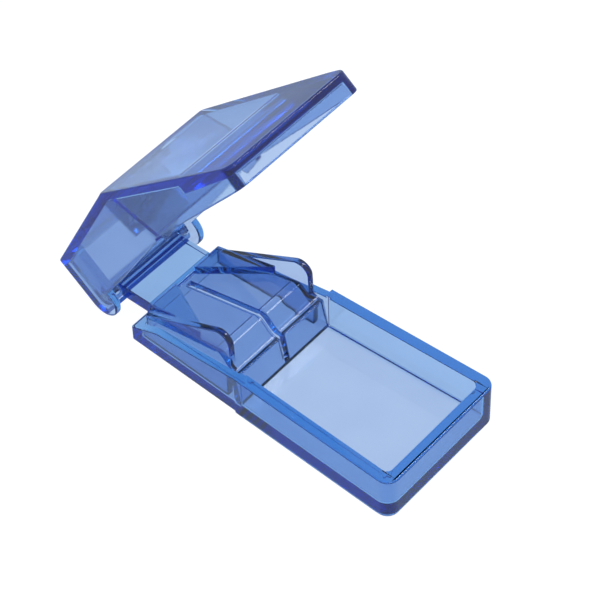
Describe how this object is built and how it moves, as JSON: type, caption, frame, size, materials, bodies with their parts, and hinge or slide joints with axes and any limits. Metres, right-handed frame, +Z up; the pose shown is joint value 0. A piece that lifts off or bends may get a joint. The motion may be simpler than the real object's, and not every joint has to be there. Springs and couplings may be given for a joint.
{
  "type": "pill splitter",
  "caption": "Pocket pill splitter: a translucent hinged cover carries a blade over a ramped V-shaped pill cradle, with a storage tray in front.",
  "frame": {"origin": "centre of the flat underside of the base, on the surface it rests on", "axes": "+X from the hinge towards the storage tray's front wall, +Y across the width, +Z up; the cover stands open 51.5 degrees at rest"},
  "size_m": [0.1017, 0.0378, 0.0825],
  "materials": {
    "clear_blue_base": "translucent, glossy",
    "clear_blue_cradle": "translucent, glossy",
    "clear_blue_lid": "translucent, glossy",
    "clear_blue_holder": "translucent, glossy",
    "blade_steel": "fine ground",
    "rivet_steel": "satin",
    "pin_steel": "satin"
  },
  "bodies": {
    "base_body": {"base": "clear_blue_base", "pill_cradle": "clear_blue_cradle"},
    "lid_body": {"lid": "clear_blue_lid", "blade_holder": "clear_blue_holder", "blade": "blade_steel", "blade_rivets": "rivet_steel", "hinge_pin": "pin_steel"}
  },
  "joints": [
    {"name": "lid_hinge", "type": "hinge", "parent": "base_body", "child": "lid_body", "pos_m": [-0.049, 0, 0.0063], "axis": [0, -1, 0], "range_deg": [-51.5, 38.5]}
  ]
}
